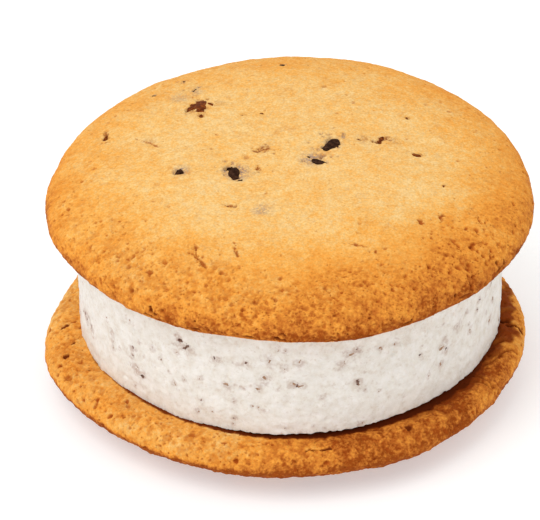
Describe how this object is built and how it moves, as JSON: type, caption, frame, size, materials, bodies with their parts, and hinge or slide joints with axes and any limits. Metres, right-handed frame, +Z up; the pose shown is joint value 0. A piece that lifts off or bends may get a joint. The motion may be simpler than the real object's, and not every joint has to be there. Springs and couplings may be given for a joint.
{
  "type": "ice cream sandwich",
  "caption": "Round ice cream sandwich: a thick disc of ice cream between two domed cookies, lying flat; a dessert prop.",
  "frame": {"origin": "centre of the box in plan, at the height of the table the sandwich lies on", "axes": "+Z up through the stack of cookie, ice cream and cookie; -Y is the side shown in the reference view, +X its right"},
  "size_m": [0.0814, 0.0812, 0.0403],
  "materials": {
    "bottom_cookie": "baked cookie crust, orange-brown, matte and porous",
    "ice_cream": "frozen vanilla ice cream, off-white with small flecks, softly satin",
    "top_cookie": "baked cookie crust, golden yellow with an orange rim, matte and fine-grained"
  },
  "bodies": {
    "root": {"bottom_cookie": "bottom_cookie", "ice_cream": "ice_cream", "top_cookie": "top_cookie"}
  },
  "joints": []
}
